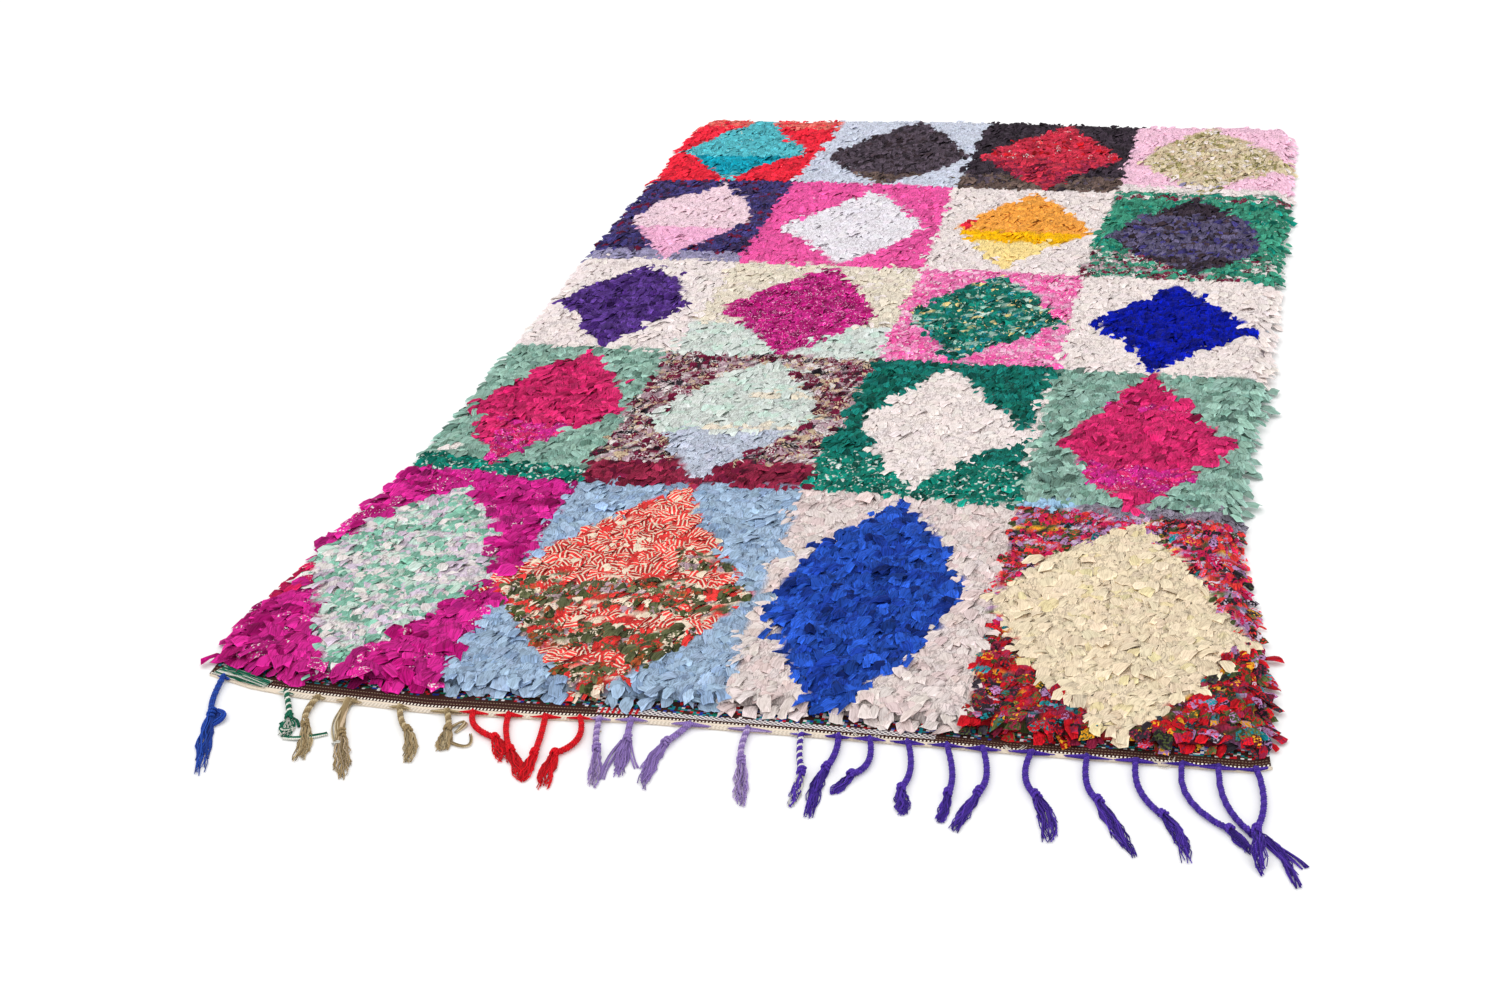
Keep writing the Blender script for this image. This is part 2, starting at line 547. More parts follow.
def make_piece(name, points, faces, material, slot, nodes, layers, places=None, sharp=None):
    """A mesh object from arrays of points and of faces with one number of corners each. Layers
    are the points' colours (of four values) and vectors (of three) by their names, places are
    the corners' own UVs, and sharp is a test on the two ends of each edge."""
    def fill(data, label, values):
        data.foreach_set(label, np.asarray(values, np.float32).ravel())

    mesh = bpy.data.meshes.new(name)
    mesh.vertices.add(len(points))
    fill(mesh.vertices, "co", points)
    corners = np.concatenate([block.ravel() for block in faces]).astype(np.int32)
    sides = np.repeat([block.shape[1] for block in faces], [len(block) for block in faces])
    mesh.loops.add(len(corners))
    mesh.loops.foreach_set("vertex_index", corners)
    mesh.polygons.add(len(sides))
    mesh.polygons.foreach_set("loop_start", np.concatenate([[0], np.cumsum(sides)[:-1]]).astype(np.int32))
    mesh.polygons.foreach_set("use_smooth", np.ones(len(sides), bool))
    mesh.update(calc_edges=True)
    for label, values in layers.items():
        kind = "color" if values.shape[-1] == 4 else "vector"
        fill(mesh.attributes.new(label, "FLOAT_" + kind.upper(), "POINT").data, kind, values)
    if places is not None:
        fill(mesh.uv_layers.new(name="OFBake").uv, "vector", places)
    if sharp is not None:
        ends = np.empty(2 * len(mesh.edges), np.int32)
        mesh.edges.foreach_get("vertices", ends)
        ends = ends.reshape(-1, 2)
        layer = mesh.attributes.new("sharp_edge", "BOOLEAN", "EDGE")
        layer.data.foreach_set("value", sharp(ends[:, 0], ends[:, 1]))
    mesh.materials.append(material)
    piece = place_object(name, mesh)
    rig.ride(piece, "root")
    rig.replaces(piece, *nodes)
    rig.slot(piece, slot)
    return piece


def opaque(colours, alpha=1.0):
    """Colours with an alpha of 1, or of a column of its own."""
    return np.concatenate([colours, alpha + np.zeros((len(colours), 1))], axis=-1)


def joined(*values):
    """Arrays, or numbers as wide as those, side by side along a new last axis."""
    return np.stack(np.broadcast_arrays(*values), axis=-1)


def level_normal(heading):
    """Level vectors to the left of directions."""
    return joined(-heading[..., 1], heading[..., 0], 0.0)


# Chart: which rag is knotted where

LATTICE_ROUNDS = 3     # of settling a point between the lattice's lines


def shares(value, lines):
    """Number of the space between lines that holds a value, with the share of the way in it."""
    return np.clip((value - lines[:-1]) / np.diff(lines, axis=0), 0, 1).sum(axis=0)


def panel_place(x, along):
    """Column and row coordinates of points: between two lines of the lattice the share of the
    way is linear, and a few rounds settle the lines that are not straight."""
    column = np.full(x.shape, PANEL_COLUMNS / 2)
    for _ in range(LATTICE_ROUNDS):
        row = shares(along, np.array([np.interp(column, np.arange(PANEL_COLUMNS + 1), y) for y in LINE_Y]))
        column = shares(x, np.array([np.interp(row, np.arange(PANEL_ROWS + 1), line) for line in LINE_X.T]))
    return column, row


def chart(x, along):
    """Number of the rag, whether it is in a lozenge, and the panel's column, at each point. A
    lozenge is eight triangles round its middle: its outline runs from tip to tip and bends half
    way by the side's swell."""
    column, row = panel_place(x, along)
    panel_column = np.clip(column.astype(int), 0, PANEL_COLUMNS - 1)
    panel_row = np.clip(row.astype(int), 0, PANEL_ROWS - 1)
    u, v = column - panel_column, row - panel_row
    names = list(RAGS)
    rag = np.zeros(x.shape, int)
    in_lozenge = np.zeros(x.shape, bool)
    for panel in PANELS:
        here = (panel_column == panel.column - 1) & (panel_row == panel.row - 1)
        tips = np.array(panel[4:12]).reshape(4, 2)
        middle = tips.mean(axis=0)
        bends = (tips + np.roll(tips, -1, axis=0)) / 2
        bends[:, 0] += np.array(panel[12:]) * [1, 1, -1, -1]
        outline = np.stack([tips, bends], axis=1).reshape(8, 2)
        inside = np.zeros(x.shape, bool)
        for start, end in zip(outline, np.roll(outline, -1, axis=0)):
            turns = [
                (b[0] - a[0]) * (v - a[1]) - (b[1] - a[1]) * (u - a[0])
                for a, b in ((middle, start), (start, end), (end, middle))
            ]
            inside |= np.all(np.array(turns) <= 0, axis=0)
        inside &= here
        rag[here] = names.index(panel.ground)
        rag[inside] = names.index(panel.lozenge)
        in_lozenge |= inside
        for patch in PATCHES:
            if (patch.row, patch.column) == (panel.row, panel.column):
                part = inside if patch.part == "lozenge" else here & ~inside
                part = part & (u >= patch.left) & (u < patch.right) & (v >= patch.low) & (v < patch.high)
                rag[part] = names.index(patch.rag)
    return rag, in_lozenge, panel_column


# Pile

KNOT_PITCHES = (0.0142, 0.0120, 0.0106)    # for broad, middling and narrow rags
RAG_SIZES = (18, 15)   # strip widths in mm from which a rag is broad or middling
ROW_PITCH = 0.90       # of the knots' pitch
KNOT_STRAY = (0.18, 0.14)      # of a knot, as a share of the pitch across and along
CHART_STRAY = 0.004    # of a knot across the edges of panels and lozenges
FRONT_GAP = 0.002      # from the front end to the first row
FRONT_REACH = 0.033    # how far the outermost strips reach beyond the knots at the front end
BACK_REACH = 0.010     # and at the back end
RIM_HEIGHT = 0.0060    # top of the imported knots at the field's rims and inside them
BED_HEIGHT = 0.0205
RIM_SLOPE = 0.024      # run over which it climbs at the sides
STEEP_END = 2.0        # times as steep at the two ends
KNOT_DEPTH = (0.0024, 0.0026)  # of a root below the knots' tops, for black and more for white
LOWEST_ROOT = 0.0015
RUN = 4                # knots in a row that take one dye
OWN_DRAW = 0.35        # of the strips don't follow their run
RARE_COVER = 0.14      # a print that covers less is on a few strips alone, and thicker there
RARE_SHARE = 0.10
RARE_GAIN = 2.6
STATIONS = (4, 8, 12)  # steps along a strip where it has a section
STEPS = 12
SECTION = np.array([-.5, 0, .5, 0])
STRIP_POINTS = 1 + len(STATIONS) * len(SECTION)
LAST_RING = STRIP_POINTS - len(SECTION)
CLOTH = 0.0011         # thickness of a folded rag


def field_sides(x, t):
    """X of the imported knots' left and right sides at shares of the length, and Y of their
    front and back ends at x: the rims less the reach of the outermost strips."""
    left = RIM_REACH - FIELD_WIDTH / 2 - rim(LEFT_SIDE, t * FIELD_LENGTH)
    right = FIELD_WIDTH / 2 + rim(RIGHT_SIDE, t * FIELD_LENGTH) - RIM_REACH
    front = FRONT_Y - rim(FRONT_END, x) + FRONT_REACH
    back = -FRONT_Y + rim(BACK_END, x) - BACK_REACH
    return left, right, front, back


def bed_height(x, y):
    """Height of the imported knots: from the nearest rim inwards it climbs on a quarter of a
    wave."""
    left, right, front, back = field_sides(x, np.clip(y / FIELD_LENGTH + 0.5, 0, 1))
    inward = np.minimum(np.minimum(x - left, right - x), STEEP_END * np.minimum(y - front, back - y))
    climb = np.sin(np.clip(inward / RIM_SLOPE, 0, 1) * np.pi / 2)
    return RIM_HEIGHT + (BED_HEIGHT - RIM_HEIGHT) * climb


def knot_grid(pitch, rng):
    """Places of all knots of one pitch, in rows from the front to the back: every other row is
    half a knot on, each knot strays a little, and the ends follow the rug's rims."""
    rows = int(FIELD_LENGTH / (pitch * ROW_PITCH))
    count = int(FIELD_WIDTH / pitch)
    row_number, knot_number = np.divmod(np.arange(rows * count), count)
    t = row_number / rows + rng.normal(0, KNOT_STRAY[1], rows * count) / rows
    u = (knot_number + 0.5 * (row_number % 2) + rng.normal(0, KNOT_STRAY[0], rows * count) + 0.25) / count
    t, u = np.clip(t, 0, 1), np.clip(u, 0, 1)
    left, right, _, _ = field_sides(0.0, t)
    x = left + u * (right - left)
    _, _, front, back = field_sides(x, t)
    y = front + FRONT_GAP + t * (back - front - FRONT_GAP)
    return x, y, u, t, row_number, knot_number


def knots(rng):
    """All knots with their rags: of each pitch's grid, those whose rag is of that size."""
    widths = np.array([cloth.width for cloth in RAGS.values()])
    size = (widths < RAG_SIZES[0]).astype(int) + (widths < RAG_SIZES[1])
    kept = []
    for number, pitch in enumerate(KNOT_PITCHES):
        grid = knot_grid(pitch, rng)
        x, y = grid[:2]
        charted = chart(x + rng.normal(0, CHART_STRAY, len(x)), y - FRONT_Y)
        here = size[charted[0]] == number
        kept.append([values[here] for values in (*grid, *charted)])
    return [np.concatenate(values) for values in zip(*kept)]


def dye_strips(rag, row_number, knot_number, rng):
    """Colours of the strips in linear light: each run of knots along a row takes one dye of
    its rag by its share, and each strip differs a little in depth of colour."""
    start = rng.integers(0, 17, row_number.max() + 1)
    run = (knot_number + start[row_number]) // RUN
    draw = rng.random((row_number.max() + 1, run.max() + 2))[row_number, run]
    draw = np.where(rng.random(len(rag)) < OWN_DRAW, rng.random(len(rag)), draw)
    ground, printed = np.zeros((2, len(rag), 3))
    kind = np.zeros((len(rag), 3))
    for number, cloth in enumerate(RAGS.values()):
        here = rag == number
        words = cloth.dyes.split()
        dyes = linear([DYES[word] for word in words[0::2]])
        ends = np.cumsum([float(word) for word in words[1::2]])
        first, second = (
            dyes[np.searchsorted(ends / ends[-1], draws, side="right").clip(0, len(ends) - 1)]
            for draws in (draw[here], rng.random(here.sum()))
        )
        ground[here] = first
        printed[here] = second if cloth.print == "mixed" else linear(DYES[cloth.print])
        kind[here] = (cloth.cover, cloth.striped, cloth.grain)
    rare = (kind[:, 0] < RARE_COVER) & (kind[:, 0] > 0)
    shown = rng.random(len(rag)) < RARE_SHARE
    kind[:, 0] = np.where(rare, np.where(shown, RARE_GAIN * kind[:, 0], 0), kind[:, 0])
    uneven = 0.02 + 0.40 * (1 - ground.mean(axis=-1, keepdims=True)) ** 2
    depth = 1 + uneven * rng.normal(0, 1, (len(rag), 1)) + rng.normal(0, 0.012, (len(rag), 3))
    return ground * depth.clip(0.4, 1.7), printed, kind


# A strip's shape: angles in degrees, and shares of its rag's width or length
LENGTH_SHARE = 0.79    # of a rag's length that lies above its knot
NARROW = (0.22, 0.55)  # the share of the strips that are folded narrow, and their width
LENGTH_WAVES = (0.08, 0.09)    # over the rug, and their own length in metres
WILD_SHARE = 0.035     # of the strips lie any way
RIM_RISE, RIM_DROOP = 38, -26  # slopes at the rims
FRONT_DROOP = 16       # steeper at the front
RIM_LEAN = 0.95        # radians by which a strip turns outwards at the two sides
SLOPE_POWER = 0.9
WIDTHS = (0.86, 1.04, 0.96)    # at the three sections, the last for a tip that varies
CALM = (1.25, 0.85)    # of twist and folds in a black cloth, and less in a white one
FOLD = 0.06
POINT = 0.10           # of the tip's middle beyond its corners
SIDE_BAND = (0.483, 0.017)     # where the outermost strips begin, and the run to the very rim
BACK_BAND = (0.985, 0.015)
FRONT_BAND = (-0.014, 0.006)
BACK_TURNED = 0.6      # of the strips at the back point backwards
BACK_SHORTER = 0.42
FRONT_ROWS = 0.02      # of the length, where the strips stay above the woven band
LOWEST = (0.0034, 0.0012)      # heights of a strip's lowest points there and elsewhere
HIGHEST = 0.042


# Slopes in degrees at the knot and at the tip, and turns in radians of the way and about it: the
# middle, the waves over the rug with their length in metres, and the spread from strip to strip
VARIED = {row.name: row for row in table("""name middle waves length spread
rise 38 7 .08 5
droop -34 7 .08 6
lean -.16 .42 .09 .15
twist 0 .22 .07 .07""")}

# Spreads of what else differs, from strip to strip or from section to section
SPREAD = {row.name: row.spread for row in table("""name spread
width .14, length .12, side_lean .25, front_lean .5, front_droop 12, curl .22, twist_on .12, tip .20
corner .13, middle .10, fold .11, fold_on .05, edge .05, slant .34, point .16""")}


def varied(name, x, y, rng):
    """A measure of each strip at its place: middle, waves and spread by their table."""
    row = VARIED[name]
    return row.middle + row.waves * ripple(x, y, row.length, rng) + rng.normal(0, row.spread, len(x))


def rag_size(rag, column, low, high, rng):
    """Widths or lengths of the strips in metres: their rags' own, each varied within limits."""
    sizes = MM * np.array([getattr(cloth, column) for cloth in RAGS.values()])[rag]
    return sizes * rng.normal(1, SPREAD[column], len(rag)).clip(low, high)


def direction(way, slope):
    """Unit vectors that climb at a slope, in a way turned from the front to the right."""
    return joined(np.sin(way) * np.cos(slope), -np.cos(way) * np.cos(slope), np.sin(slope))


def strip_lines(x, y, u, t, rag, rng):
    """Widths and lengths of the strips, and their slope and way at each step: the slope turns
    from the rise at the knot to the droop at the tip, and the way curls a little. Strips at the
    rims lie outwards and low."""
    n = len(x)

    def band(share, start_and_run):
        """0 before the start of a band at the rim, and 1 past its run."""
        start, run = start_and_run
        return np.clip((share - start) / run, 0, 1)

    widths = rag_size(rag, "width", .6, 1.4, rng)
    widths *= np.where(rng.random(n) < NARROW[0], NARROW[1], 1.0)
    lengths = LENGTH_SHARE * rag_size(rag, "length", .7, 1.3, rng)
    lengths *= 1 + LENGTH_WAVES[0] * ripple(x, y, LENGTH_WAVES[1], rng)
    rise = np.radians(varied("rise", x, y, rng))
    droop = np.radians(varied("droop", x, y, rng))
    lean = varied("lean", x, y, rng)
    wild = rng.random(n) < WILD_SHARE
    lean = np.where(wild, rng.uniform(-np.pi, np.pi, n), lean)
    edge = band(np.abs(u - 0.5), SIDE_BAND)
    lean = lean * (1 - edge) + edge * np.sign(u - 0.5) * rng.normal(RIM_LEAN, SPREAD["side_lean"], n)
    backmost = band(t, BACK_BAND)
    lean = np.where(rng.random(n) < BACK_TURNED * backmost, lean + np.pi, lean)
    lengths *= 1 - BACK_SHORTER * backmost
    front = band(-t, FRONT_BAND)
    low = np.maximum(edge, front)
    rise = rise * (1 - low) + low * np.radians(RIM_RISE)
    steeper = rng.normal(FRONT_DROOP, SPREAD["front_droop"], n) * front
    droop = droop * (1 - low) + low * np.radians(RIM_DROOP - steeper)
    lean = lean + front * rng.normal(0, SPREAD["front_lean"], n)
    curl = rng.normal(0, SPREAD["curl"], n)
    steps = (np.arange(STEPS) + 0.5)[None, :] / STEPS
    slope = rise[:, None] + (droop - rise)[:, None] * steps ** SLOPE_POWER
    return widths, lengths, slope, lean[:, None] + curl[:, None] * steps


def strip_shapes(x, y, u, t, rag, lightness, rng):
    """Corners of all strips, n by STRIP_POINTS by 3, and of each its place across and along
    the strip and whether it is on a cut edge. A strip's centre line starts at its knot and
    follows its slope and way; at each station four points lie about it: the two edges, and two
    in the middle that are one cloth apart and lift into a fold. Light cloths lie calmer."""
    n, count = len(x), len(STATIONS)
    widths, lengths, slope, way = strip_lines(x, y, u, t, rag, rng)
    stride = lengths[:, None] / STEPS
    line = np.cumsum(direction(way, slope) * stride[..., None], axis=1)
    foot = bed_height(x, y) - KNOT_DEPTH[0] - KNOT_DEPTH[1] * lightness
    root = joined(x, y, foot.clip(LOWEST_ROOT))
    station = np.array(STATIONS) - 1
    share = np.array(STATIONS) / STEPS
    middle = root[:, None, :] + line[:, station]
    way, slope = way[:, station], slope[:, station]
    heading = direction(way, slope)
    level = joined(-np.cos(way), -np.sin(way), 0.0)
    up = np.cross(level, heading)
    twist = varied("twist", x, y, rng)[:, None] + rng.normal(0, SPREAD["twist_on"], n)[:, None] * share
    calm = (CALM[0] - CALM[1] * lightness)[:, None]
    twist *= calm
    across = level * np.cos(twist)[..., None] + up * np.sin(twist)[..., None]
    out = up * np.cos(twist)[..., None] - level * np.sin(twist)[..., None]
    tip_share = rng.normal(WIDTHS[2], SPREAD["tip"], n).clip(.35, 1.3)
    spread = widths[:, None] * joined(*WIDTHS[:2], tip_share)
    place = SECTION * (1 + rng.normal(0, SPREAD["corner"], (n, count, 4)))
    place[..., [1, 3]] = rng.normal(0, SPREAD["middle"], (n, count, 1))
    fold = rng.normal(FOLD, SPREAD["fold"], (n, 1)) + rng.normal(0, SPREAD["fold_on"], (n, count))
    edges = rng.normal(0, SPREAD["edge"], (n, count, 2))
    lift = joined(edges[..., 0], fold, edges[..., 1], fold) * (widths[:, None] * calm)[..., None]
    lift[..., 3] -= CLOTH
    cut = np.zeros((n, count, 4))
    slant = rng.normal(0, SPREAD["slant"], n) * widths
    point = rng.normal(POINT, SPREAD["point"], n) * widths
    cut[:, 2] = slant[:, None] * SECTION + point[:, None] * [0, 1, 0, 1]
    sideways = spread[:, :, None] * place
    corners = middle[:, :, None, :]
    for axis, reach in ((across, sideways), (out, lift), (heading, cut)):
        corners = corners + axis[:, :, None, :] * reach[..., None]
    points = np.concatenate([root[:, None, :], corners.reshape(n, -1, 3)], axis=1)
    points[..., 2] = np.clip(points[..., 2], np.where(t < FRONT_ROWS, *LOWEST)[:, None], HIGHEST)
    along = lengths[:, None, None] * share[None, :, None] + cut
    edging = np.broadcast_to(2 * np.abs(SECTION), (n, count, 4)).copy()
    edging[:, 2] = 1
    return points, *(np.insert(values.reshape(n, -1), 0, 0, axis=1) for values in (sideways, along, edging))


def strip_faces():
    """Faces of one strip by its point numbers: a fan of triangles from the knot, bands of
    quads between the sections, and a quad over the tip."""
    ring = np.arange(4)
    after = (ring + 1) % 4
    bands = [joined(k + ring, k + after, k + 4 + after, k + 4 + ring) for k in range(1, LAST_RING, 4)]
    return joined(0, 1 + after, 1 + ring), np.concatenate(bands + [LAST_RING + ring[None]])


def strip_places():
    """UV places of one strip's corners in a unit cell: each face has its own share, round the
    strip from left to right and from its knot at the bottom to its tip at the top."""
    side = np.array([0.04, 0.34, 0.64, 0.80, 0.96])
    height = np.array([0.04, 0.34, 0.62, 0.88, 0.96])
    fan = [
        [((side[k] + side[k + 1]) / 2, height[0]), (side[k + 1], height[1]), (side[k], height[1])]
        for k in range(4)
    ]
    bands = [
        [(side[k], height[j]), (side[k + 1], height[j]), (side[k + 1], height[j + 1]), (side[k], height[j + 1])]
        for j in (1, 2) for k in range(4)
    ]
    tip = [[(side[0], height[3]), (side[2], height[3] + 0.01), (side[2], height[4]), (side[0], height[4])]]
    return np.array(fan), np.array(bands + tip)


def strip_sharp(a, b):
    """True for the edges along a strip's two rims and round its tip."""
    a, b = a % STRIP_POINTS, b % STRIP_POINTS
    side_a, side_b = (a - 1) % 4, (b - 1) % 4
    rims = (side_a == side_b) & np.isin(side_a, (0, 2)) & (a > 0) & (b > 0)
    return rims | ((a >= LAST_RING) & (b >= LAST_RING))


def knot_pile(rag_material, rng):
    """All rag strips, as one piece for each column's ground and one for its lozenges. The UV
    cells of a piece's strips fill a square grid."""
    x, y, u, t, row_number, knot_number, rag, in_lozenge, column = knots(rng)
    ground, printed, kind = dye_strips(rag, row_number, knot_number, rng)
    lightness = np.sqrt(ground.mean(axis=-1))
    points, across_strip, along_strip, edging = strip_shapes(x, y, u, t, rag, lightness, rng)
    shapes = list(zip(strip_faces(), strip_places()))
    seeds = rng.random(len(x))
    pieces = []
    for part, wanted in (("ground", False), ("lozenge", True)):
        for number in range(PANEL_COLUMNS):
            here = np.flatnonzero((in_lozenge == wanted) & (column == number))
            own = np.arange(len(here))
            cells = int(np.ceil(np.sqrt(len(here))))
            corner = joined(own % cells, own // cells)[:, None, None, :]
            base = STRIP_POINTS * own[:, None, None]
            faces = [(face + base).reshape(-1, face.shape[1]) for face, _ in shapes]
            places = np.concatenate([((place + corner) / cells).reshape(-1, 2) for _, place in shapes])
            spread = np.repeat(here, STRIP_POINTS)
            strip = joined(across_strip[here].ravel(), along_strip[here].ravel(), seeds[spread])
            layers = {
                "rag_dye": opaque(ground[spread]),
                "rag_print": opaque(printed[spread], edging[here].reshape(-1, 1)),
                "rag_kind": kind[spread],
                "rag_strip": strip,
            }
            pieces.append(make_piece(
                "%s_pile_%d" % (part, number + 1), points[here].reshape(-1, 3), faces,
                rag_material, "rag_pile", ["rug"], layers, places, strip_sharp,
            ))
    return pieces


# Foundation and its end band

BED_COLUMNS = 120
BED_ROWS = 230
BAND_STEPS = 9         # rows of points across the band, three for each stripe
BAND_HEIGHT = 0.0026
CREAM_HEIGHT = 0.0016  # of the cloth under the cream edge
LEAST_FOOT = 0.004     # between the brown stripe and the foot of the pile
BED_LUMPS = (0.0013, 0.0008)   # from point to point, and in waves of the length below
LUMP_LENGTH = 0.05
UNDERSIDE = 0.0003


def band_point(x, stripe):
    """Y of points on the end band: 0 is its outer edge, 1 the inner side of the cream edge, 2
    that of the brown stripe and 3 the foot of the pile, with straight lines between."""
    lines = [FRONT_Y - rim(BAND_END, x)]
    for column in (1, 2):
        lines.append(lines[-1] + rim([(row[0], row[column]) for row in STRIPES], x))
    lines.append(np.maximum(field_sides(x, 0.0)[2], lines[-1] + LEAST_FOOT))
    return np.stack([np.interp(stripe, [0, 1, 2, 3], values) for values in joined(*lines)])


def foundation_sheet(material, rng):
    """The woven cloth with its bed of packed knots: a grid from rim to rim, its top lumpy where
    the knots are and level on the end band. The underside is flat, in strips that reach from
    one side to the other, and the four rims are closed."""
    u = np.linspace(0, 1, BED_COLUMNS + 1)
    stripe = np.linspace(0, 3, BAND_STEPS + 1)
    t = np.concatenate([np.zeros(BAND_STEPS), np.linspace(0, 1, BED_ROWS + 1)])
    rows = len(t)
    left, right, _, _ = field_sides(0.0, t)
    blend = np.clip(1 - np.arange(rows) / BAND_STEPS, 0, 1)
    ends = MM * np.array([BAND_END[0].across, BAND_END[-1].across])
    left = left + (ends[0] - left) * blend
    right = right + (ends[1] - right) * blend
    x = left[:, None] + (right - left)[:, None] * u
    foot = band_point(x[BAND_STEPS], 3.0)
    back = field_sides(x, t[:, None])[3]
    y = foot + t[:, None] * (back - foot)
    for number in range(BAND_STEPS):
        y[number] = band_point(x[number], stripe[number])
    stripe_at = np.concatenate([stripe[:-1], np.full(BED_ROWS + 1, 3.0)])[:, None]
    lumps = rng.normal(0, BED_LUMPS[0], x.shape) + BED_LUMPS[1] * ripple(x, y, LUMP_LENGTH, rng)
    z = np.where(stripe_at < 2.99, BAND_HEIGHT, bed_height(x, y) - MM + lumps)
    z = np.where(stripe_at < 1.0, CREAM_HEIGHT, z)
    top = joined(x, y, z).reshape(-1, 3)
    number = np.arange(rows * len(u)).reshape(rows, len(u))
    quads = joined(number[:-1, :-1], number[:-1, 1:], number[1:, 1:], number[1:, :-1])
    loop = np.concatenate([number[0], number[1:, -1], number[-1, -2::-1], number[-2:0:-1, 0]])
    bottom = top[loop] * [1, 1, 0] + [0, 0, UNDERSIDE]
    low = len(top) + np.arange(len(loop))
    wall = joined(np.roll(loop, -1), loop, low, np.roll(low, -1))
    far = len(u) + rows - 2    # number of the right back corner in the loop
    right_low = low[len(u) - 1:far + 1]
    left_low = np.concatenate([low[:1], low[:-rows + 1:-1], low[far + len(u) - 1:far + len(u)]])
    under = joined(left_low[1:-2], left_low[2:-1], right_low[2:-1], right_low[1:-2])
    front_end = np.concatenate([left_low[1:2], right_low[1:2], low[len(u) - 1::-1]])
    back_end = np.concatenate([right_low[-2:-1], left_low[-2:-1], low[far:far + len(u)][::-1]])
    rag, _, _ = chart(x.ravel(), y.ravel() - FRONT_Y)
    row_number, column_number = np.divmod(number.ravel(), len(u))
    dye = opaque(dye_strips(rag, row_number, column_number, rng)[0])
    band_at = joined(x, y - FRONT_Y, stripe_at).reshape(-1, 3)
    layers = {
        "rag_dye": np.concatenate([dye, dye[loop]]),
        "band_place": np.concatenate([band_at, band_at[loop]]),
    }
    faces = [np.concatenate([quads.reshape(-1, 4), under, wall]), front_end[None], back_end[None]]
    return make_piece("foundation", np.concatenate([top, bottom]), faces, material, "rag_pile", ["rug"], layers)


# Yarn

CORD_WIDTH = 0.0095
CORD_POINTS = 36
CORD_LIFT = 0.0022     # of the cord's root onto the band's edge
PLY_REACH = 0.45       # of the cord's radius, from its middle to a ply's
PLY_SHARE = 0.57       # a ply's own radius
KNOT_POINTS = 26
KNOT_TURNS = 2.2
KNOT_SIZE = (0.0047, 0.0040)   # radii of the knot's turns, level and upright
KNOT_YARN = 0.0023
KNOT_HEIGHT = 0.0064
KNOT_RUN = (-.05, .12)         # of the tuft's line
TUFT_YARNS = 36
TUFT_POINTS = 9
TUFT_HEIGHTS = (0.0075, 0.0055)    # at the knot, and less at the tip
YARN_RADIUS = 0.00095
ROOT_YARNS = 5         # that lie each way along the band's edge
ROOT_YARN = 0.0021
ROOT_HEIGHT = 0.0042
TUFT_REACH = (0.58, 0.42)      # of the tuft's length that every yarn has, and up to how much more
TUFT_SPREAD = (0.34, 0.66)     # of the fan's width at the knot, and more where it is broadest
TUFT_WAVE = 0.0016
EDGE_POINTS = 420
EDGE_CORDS = 4
EDGE_SWELL = 1.12      # of a cord beyond its share of the edge's width
EDGE_FLATNESS = 0.5
EDGE_HEIGHT = 0.0006
EDGE_WANDER = (0.0004, 0.02)   # sideways, and its length along the edge
DYE_SWING = 0.30       # a yarn is lighter or darker than the next by up to this share
YARN_OFFSET = 0.37     # between the turns of two yarns


def tubes(centres, radii, sides):
    """Closed round tubes, m of k points: at each point a ring lies across the line's direction,
    on its level normal and the normal above, and the two ends are flat."""
    heading = np.gradient(centres, axis=1)
    heading /= np.linalg.norm(heading, axis=-1, keepdims=True)
    level = level_normal(heading)
    level /= np.linalg.norm(level, axis=-1, keepdims=True).clip(1e-6)
    above = np.cross(heading, level)
    turn = TAU * np.arange(sides) / sides
    ring = level[:, :, None] * np.cos(turn)[:, None] + above[:, :, None] * np.sin(turn)[:, None]
    points = centres[:, :, None] + ring * np.asarray(radii)[..., None, None]
    count, length = centres.shape[:2]
    number = np.arange(count * length * sides).reshape(count, length, sides)
    after = np.roll(number, -1, axis=2)
    quads = joined(number[:, :-1], after[:, :-1], after[:, 1:], number[:, 1:]).reshape(-1, 4)
    caps = np.concatenate([number[:, 0, ::-1], number[:, -1]])
    return points.reshape(-1, 3), quads, caps


class Yarns:
    """Tubes of one piece, gathered until they are made into one mesh."""

    def __init__(self, sides):
        self.sides, self.count, self.parts = sides, 0, []

    def add(self, centres, radii, dyes, flat=1.0):
        """Take m tubes: their lines, m by k by 3, their radii and the names of their dyes, with
        every height times flat. Each tube is a little lighter or darker than the one before."""
        points, quads, caps = tubes(centres, np.broadcast_to(radii, centres.shape[:2]), self.sides)
        colours = linear([DYES[dyes[number % len(dyes)]] for number in range(len(centres))])
        colours *= 1 + DYE_SWING * np.sin(2.4 * np.arange(len(colours)))[:, None]
        colours = np.repeat(opaque(colours), centres.shape[1] * self.sides, axis=0)
        steps = np.linalg.norm(np.diff(centres, axis=1, prepend=centres[:, :1]), axis=-1).cumsum(axis=1)
        offset = np.arange(len(centres))[:, None] * YARN_OFFSET
        turn = np.tile(TAU * np.arange(self.sides) / self.sides, steps.size)
        length = joined(np.repeat((steps + offset).ravel(), self.sides), np.cos(turn), np.sin(turn))
        self.parts.append((points * [1, 1, flat], quads + self.count, caps + self.count, colours, length))
        self.count += len(points)

    def make(self, name, material, slot, nodes):
        """One mesh of all the tubes, with their dyes and, for the turns of their ply, the length
        along each and the cosine and sine of the way round it."""
        points, quads, caps, colours, length = (np.concatenate(part) for part in zip(*self.parts))
        layers = {"yarn_dye": colours, "yarn_along": length}
        return make_piece(name, points, [quads, caps], material, slot, nodes, layers)


